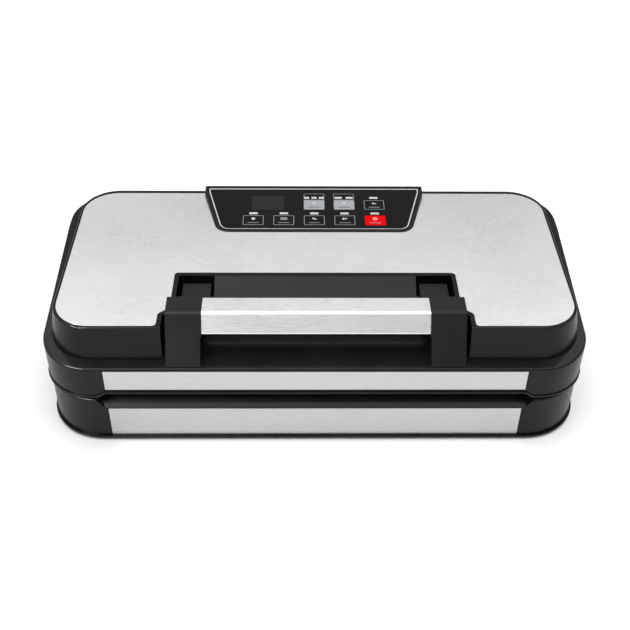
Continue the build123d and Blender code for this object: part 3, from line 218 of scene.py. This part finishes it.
def weave(name, colour, pitch=1400.0):
    """Coated glass-cloth tape: a fine square weave."""
    mat, tree, shader = new_material(name)
    coord = tree.nodes.new("ShaderNodeTexCoord")
    waves = []
    for direction in ("X", "Y"):
        wave = tree.nodes.new("ShaderNodeTexWave")
        wave.bands_direction = direction
        wave.inputs["Scale"].default_value = pitch / 20
        tree.links.new(coord.outputs["Object"], wave.inputs["Vector"])
        waves.append(wave.outputs["Fac"])
    mix = tree.nodes.new("ShaderNodeMath")
    mix.operation = "MULTIPLY"
    tree.links.new(waves[0], mix.inputs[0])
    tree.links.new(waves[1], mix.inputs[1])
    tree.links.new(blend_colour(tree, mix.outputs["Value"], tint(colour, 0.8), colour),
                   shader.inputs["Base Color"])
    tree.links.new(remap(tree, mix.outputs["Value"], 0.4, 0.55), shader.inputs["Roughness"])
    tree.links.new(bump(tree, mix.outputs["Value"], 0.4, 0.00005), shader.inputs["Normal"])
    return mat


# ---------------------------------------------------------------- materials
housing = plastic("housing_black", (0.0036, 0.0036, 0.0038), rough=0.40, specular=0.10,
                  coat=0.20)
handle_black = plastic("handle_black", (0.0060, 0.0060, 0.0062), rough=0.45, specular=0.20,
                       grain=2300.0)
inner_black = plastic("inner_black", (0.02, 0.02, 0.021), rough=0.5)
steel = brushed("brushed_steel", (0.79, 0.79, 0.787), contrast=0.03)
# Darker copy of the same brushed steel: painted shade for the front-facing strips.
strip_steel_painted_shade = brushed("strip_steel_painted_shade", (0.50, 0.50, 0.499), contrast=0.03)
aluminium = brushed("satin_aluminium", (0.86, 0.86, 0.86), rough=0.3, along=40.0,
                    across=1400.0, contrast=0.008, depth=0.0000015)
bar_metal = brushed("extruded_aluminium", (0.62, 0.62, 0.63), across=1100.0, contrast=0.04)
plated = metal("plated_steel", (0.55, 0.55, 0.56))
dark_metal = metal("black_oxide", (0.03, 0.03, 0.03), rough=0.4)
rubber = soft("foot_rubber", (0.02, 0.02, 0.02), rough=0.8, cell=900.0)
silicone = soft("silicone", (0.50, 0.48, 0.45), rough=0.5, cell=2500.0, depth=0.00003)
foam = soft("gasket_foam", (0.035, 0.035, 0.037), rough=0.85, cell=1600.0, depth=0.0003)
tape = weave("sealing_tape", (0.36, 0.25, 0.16))
gloss = plastic("panel_gloss", (0.0085, 0.0085, 0.0088), rough=0.20, specular=0.06,
                grain=500.0, grain_depth=0.000004, variation=0.1, edge=0.0)
trim = metal("trim_silver", (0.62, 0.66, 0.70), rough=0.45)
smoke = plastic("display_smoke", (0.020, 0.021, 0.0205), rough=0.25, specular=0.05,
                grain=700.0, grain_depth=0.000003, variation=0.05, edge=0.0)
lens = plastic("lens_white", (0.50, 0.50, 0.495), rough=0.4, grain=2600.0,
               grain_depth=0.00001, variation=0.03, edge=0.0001)
key_black = plastic("key_black", (0.0085, 0.0085, 0.0088), rough=0.20, specular=0.06,
                    grain=500.0, grain_depth=0.000004, variation=0.1, edge=0.0001)
key_grey = plastic("key_grey", (0.28, 0.30, 0.31), rough=0.35, specular=0.05, grain=2600.0,
                   grain_depth=0.00001, variation=0.04, edge=0.0001)
key_red = plastic("key_red", (0.58, 0.002, 0.004), rough=0.35, specular=0.02, grain=2600.0,
                  grain_depth=0.00001, variation=0.04, edge=0.0001)
print_grey = plastic("print_grey", (0.22, 0.23, 0.24), rough=0.5, grain=3000.0,
                     grain_depth=0.00001, variation=0.06, edge=0.0)
print_white = plastic("print_white", (0.50, 0.51, 0.51), rough=0.5, grain=3000.0,
                      grain_depth=0.00001, variation=0.04, edge=0.0)
print_pale = plastic("print_pale", (0.14, 0.145, 0.15), rough=0.5, grain=3000.0,
                     grain_depth=0.00001, variation=0.05, edge=0.0)
print_dark = plastic("print_dark", (0.05, 0.055, 0.06), rough=0.5, grain=3000.0,
                     grain_depth=0.00001, variation=0.06, edge=0.0)
board = plastic("solder_mask", (0.008, 0.06, 0.02), rough=0.35, grain=400.0,
                grain_depth=0.00005, variation=0.3)
coil = plastic("coil_tape", (0.45, 0.30, 0.04), rough=0.45, grain=1200.0)

LOOKS = {
    "housing": housing, "steel": steel, "handle_bar": aluminium,
    "handle_plastic": handle_black, "rubber": rubber, "silicone": silicone, "foam": foam,
    "tape": tape, "metal": plated, "bar_aluminium": bar_metal,
    "inner_plastic": inner_black, "gloss_black": gloss, "trim": trim, "display": smoke,
    "lens": lens, "key_black": key_black, "key_grey": key_grey, "key_red": key_red,
    "board": board, "coil": coil, "dark_metal": dark_metal,
}
for part in frame["record"]["subparts"]:
    node = nodes[part["node"]]
    node.data.materials.clear()
    node.data.materials.append(LOOKS[part["material_slot"]])
# The front strips take the darker steel copy, which is painted shade on the front faces.
for name in ("front_strip_upper", "front_panel_lower"):
    nodes[name].data.materials[0] = strip_steel_painted_shade


# ---------------------------------------------------------------- printed marks
PRINT_THICKNESS = 0.05 * MM
PRINT_SINK = 0.02 * MM
PANEL_SLOPE = math.radians(3.8)


def print_mark(name, loops, key, material, body=None):
    """Thin print lying on a key's sloping face; loops are round the key's middle."""
    low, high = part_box(key)
    spot = Vector(((low.x + high.x) / 2, (low.y + high.y) / 2,
                   high.z - (high.y - low.y) / 2 * math.tan(PANEL_SLOPE)))
    curve = bpy.data.curves.new(name, "CURVE")
    curve.dimensions = "2D"
    curve.fill_mode = "BOTH"
    curve.extrude = PRINT_THICKNESS / 2
    for loop in loops:
        spline = curve.splines.new("POLY")
        spline.points.add(len(loop) - 1)
        for point, (x, y) in zip(spline.points, loop):
            point.co = (x * MM, y * MM, 0, 1)
        spline.use_cyclic_u = True
    drawn = bpy.data.objects.new(name + "_curve", curve)
    bpy.context.scene.collection.objects.link(drawn)
    bpy.context.view_layer.update()
    mesh = bpy.data.meshes.new_from_object(
        drawn.evaluated_get(bpy.context.evaluated_depsgraph_get()))
    mesh.transform(Matrix.Translation(spot) @ Matrix.Rotation(PANEL_SLOPE, 4, "X")
                   @ Matrix.Translation((0, 0, PRINT_THICKNESS / 2 - PRINT_SINK)))
    bpy.data.objects.remove(drawn)
    piece = bpy.data.objects.new(name, mesh)
    piece.data.materials.clear()
    piece.data.materials.append(material)
    bpy.context.scene.collection.objects.link(piece)
    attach(piece, body or key)
    return piece


def rounded(cx, cy, width, height, radius, steps=6):
    """Points of a rounded rectangle."""
    points = []
    for sx, sy, start in ((1, 1, 0), (-1, 1, 90), (-1, -1, 180), (1, -1, 270)):
        for i in range(steps + 1):
            angle = math.radians(start + 90 * i / steps)
            points.append((cx + sx * (width / 2 - radius) + radius * math.cos(angle),
                           cy + sy * (height / 2 - radius) + radius * math.sin(angle)))
    return points


def ring(cx, cy, width, height, radius, line):
    """Rounded frame with lines of one thickness."""
    return [rounded(cx, cy, width, height, radius),
            rounded(cx, cy, width - 2 * line, height - 2 * line, max(radius - line, 0.05))]


def disc(cx, cy, radius, steps=24):
    return [(cx + radius * math.cos(2 * math.pi * i / steps),
             cy + radius * math.sin(2 * math.pi * i / steps)) for i in range(steps)]


KEY_WIDTH = 17.3
KEY_HEIGHT = 12.8
OUTLINE = 0.5
OUTLINE_INSET = 0.2
KEY_CORNER = 0.9
ICON_RISE = 2.0
CAPTION_DROP = 3.2
CAPTION_SIZE = (9.4, 1.0)
STRIP_HEIGHT = 8.6
STRIP_GAP = 0.4
STRIP_LINE = 0.4
PRINTED_ICONS = {
    "key_seal": [[rounded(0, 0, 2.8, 2.6, 0.4)]],
    "key_vacuum_seal": [ring(0, 0, 5.4, 3.0, 0.9, 0.4), [rounded(0, 0, 3.0, 0.6, 0.25)]],
    "key_pulse": [[disc(-0.7, 0.4, 1.0)], [rounded(1.0, -0.5, 2.0, 1.1, 0.5)]],
    "key_cycle": [[rounded(-1.1, 0, 1.8, 2.2, 0.4)], [rounded(1.0, 0.3, 2.0, 1.4, 0.4)]],
    "key_stop": [[disc(0, 0, 1.9), disc(0, 0, 1.4)], [rounded(0, 0, 0.6, 1.7, 0.2)]],
    "key_food": [[rounded(0, 0, 2.4, 1.6, 0.6)]],
    "key_pressure": [[disc(0, -0.3, 1.1)], [rounded(0, 1.0, 0.8, 1.0, 0.3)]],
    "key_accessory": [[disc(-0.8, 0.1, 0.9)], [rounded(0.9, -0.4, 1.8, 1.0, 0.4)]],
}
OUTLINED_KEYS = ("key_seal", "key_vacuum_seal", "key_pulse", "key_cycle", "key_accessory")
GREY_KEYS = ("key_food", "key_pressure")

for key, icon in PRINTED_ICONS.items():
    if key in OUTLINED_KEYS:
        print_mark(key + "_outline",
                   ring(0, 0, KEY_WIDTH - OUTLINE_INSET, KEY_HEIGHT - OUTLINE_INSET,
                        KEY_CORNER, OUTLINE), key, print_grey)
    for number, loops in enumerate(icon):
        raised = [[(x, y + ICON_RISE) for x, y in loop] for loop in loops]
        print_mark(f"{key}_icon_{number}", raised, key, print_white)
    print_mark(key + "_caption", [rounded(0, -CAPTION_DROP, *CAPTION_SIZE, 0.3)], key,
               print_dark if key in GREY_KEYS else print_pale)

# Outlined strips round the small indicators above the two grey keys.
for key in GREY_KEYS:
    strip_y = (KEY_HEIGHT + STRIP_HEIGHT) / 2 + STRIP_GAP
    print_mark(key + "_strip", ring(0, strip_y, KEY_WIDTH, STRIP_HEIGHT, KEY_CORNER,
                                    STRIP_LINE), key, print_grey, body="lid")


# ---------------------------------------------------------------- floor and light
FLOOR_HALF = 4.0
FLOOR_DROP = 0.2 * MM
FLOOR_WHITE = 0.93
FLOOR_ROUGHNESS = 0.9
floor_mesh = bpy.data.meshes.new("floor")
floor_mesh.from_pydata([(-FLOOR_HALF, -FLOOR_HALF, 0), (FLOOR_HALF, -FLOOR_HALF, 0),
                        (FLOOR_HALF, FLOOR_HALF, 0), (-FLOOR_HALF, FLOOR_HALF, 0)], [],
                       [(0, 1, 2, 3)])
floor = bpy.data.objects.new("floor", floor_mesh)
floor.location.z = -FLOOR_DROP
bpy.context.scene.collection.objects.link(floor)
floor_mat, floor_tree, floor_shader = new_material("floor_white")
floor_shader.inputs["Base Color"].default_value = (*[FLOOR_WHITE] * 3, 1)
floor_shader.inputs["Roughness"].default_value = FLOOR_ROUGHNESS
floor_shader.inputs["Specular IOR Level"].default_value = 0.0
floor.data.materials.append(floor_mat)

WORLD_LIGHT = 0.56
world = bpy.data.worlds.new("studio")
world.use_nodes = True
world.node_tree.nodes["Background"].inputs["Color"].default_value = (1, 1, 1, 1)
world.node_tree.nodes["Background"].inputs["Strength"].default_value = WORLD_LIGHT
bpy.context.scene.world = world


def area_light(name, spot, aim, width, height, brightness):
    """Softbox whose brightness is the radiance of its face."""
    data = bpy.data.lights.new(name, "AREA")
    data.shape = "RECTANGLE"
    data.size = width
    data.size_y = height
    data.energy = brightness * math.pi * width * height
    light = bpy.data.objects.new(name, data)
    light.location = spot
    light.rotation_euler = (Vector(aim) - Vector(spot)).to_track_quat("-Z", "Y").to_euler()
    bpy.context.scene.collection.objects.link(light)
    return light


MIDDLE = (0, 0, 0.06)
OVERHEAD_SPOT = (0, 0.1, 2.4)
OVERHEAD_AIM = (0, 0.1, 0)
OVERHEAD_SIZE = (4.0, 3.4)
OVERHEAD_BRIGHTNESS = 2.1
SIDE_SPOT = (-0.86, -0.70, 1.05)
SIDE_SIZE = (0.50, 0.40)
SIDE_BRIGHTNESS = 70.0
area_light("overhead", OVERHEAD_SPOT, OVERHEAD_AIM, *OVERHEAD_SIZE, OVERHEAD_BRIGHTNESS)
# Seen in reflections only, so that it draws no shadow on the floor.
highlight = area_light("left_softbox", SIDE_SPOT, MIDDLE, *SIDE_SIZE, SIDE_BRIGHTNESS)
highlight.visible_diffuse = False
